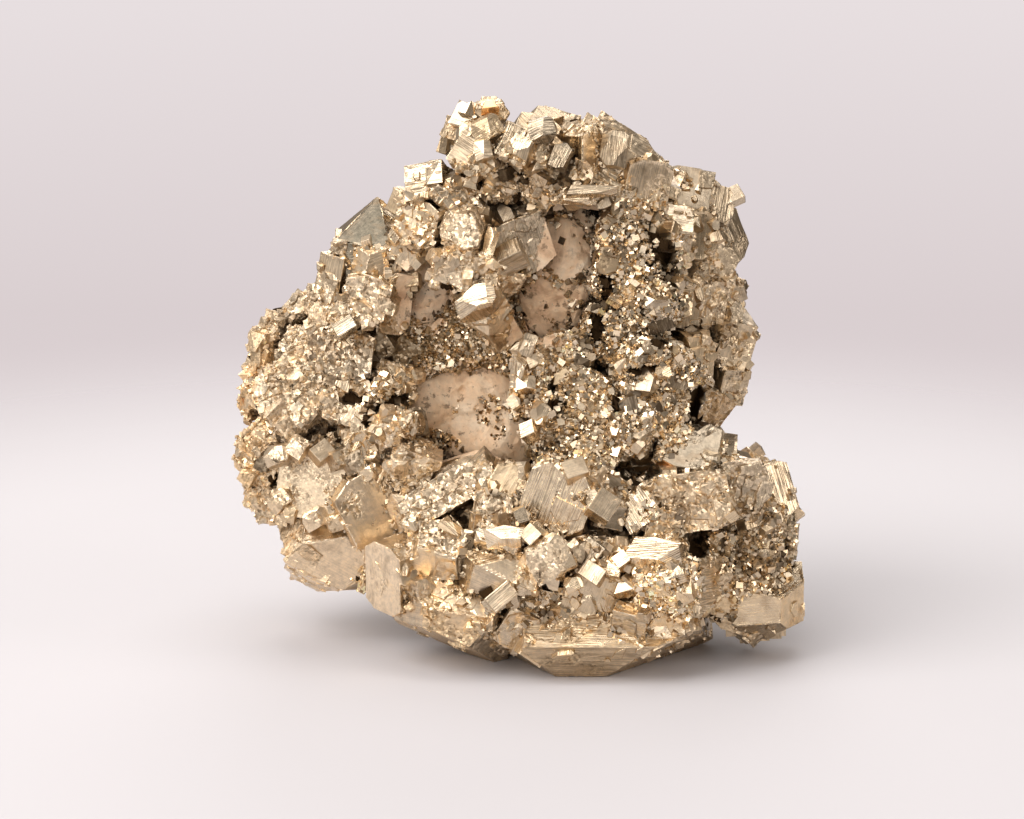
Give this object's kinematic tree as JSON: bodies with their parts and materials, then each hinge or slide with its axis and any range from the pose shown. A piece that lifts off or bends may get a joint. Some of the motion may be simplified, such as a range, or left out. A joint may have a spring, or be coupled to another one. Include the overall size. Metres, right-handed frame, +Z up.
{
  "type": "pyrite specimen",
  "caption": "Cluster of blocky striated pyrite crystals, metallic brass-yellow, grown round a shallow hollow that shows pale matrix rock.",
  "frame": {"origin": "on the resting surface, under the middle of the specimen's box", "axes": "+Z up, +X to the right of someone who faces the hollow, +Y away from them"},
  "size_m": [0.0666, 0.0478, 0.0636],
  "materials": {
    "pyrite": "natural metallic crystal faces, smooth to striated",
    "crust": "crust of small metallic crystals",
    "rock": "matt pale rock with dark specks"
  },
  "bodies": {
    "root": {"pyrite_cluster": "pyrite", "hollow_crust": "crust", "matrix": "rock"}
  },
  "joints": []
}
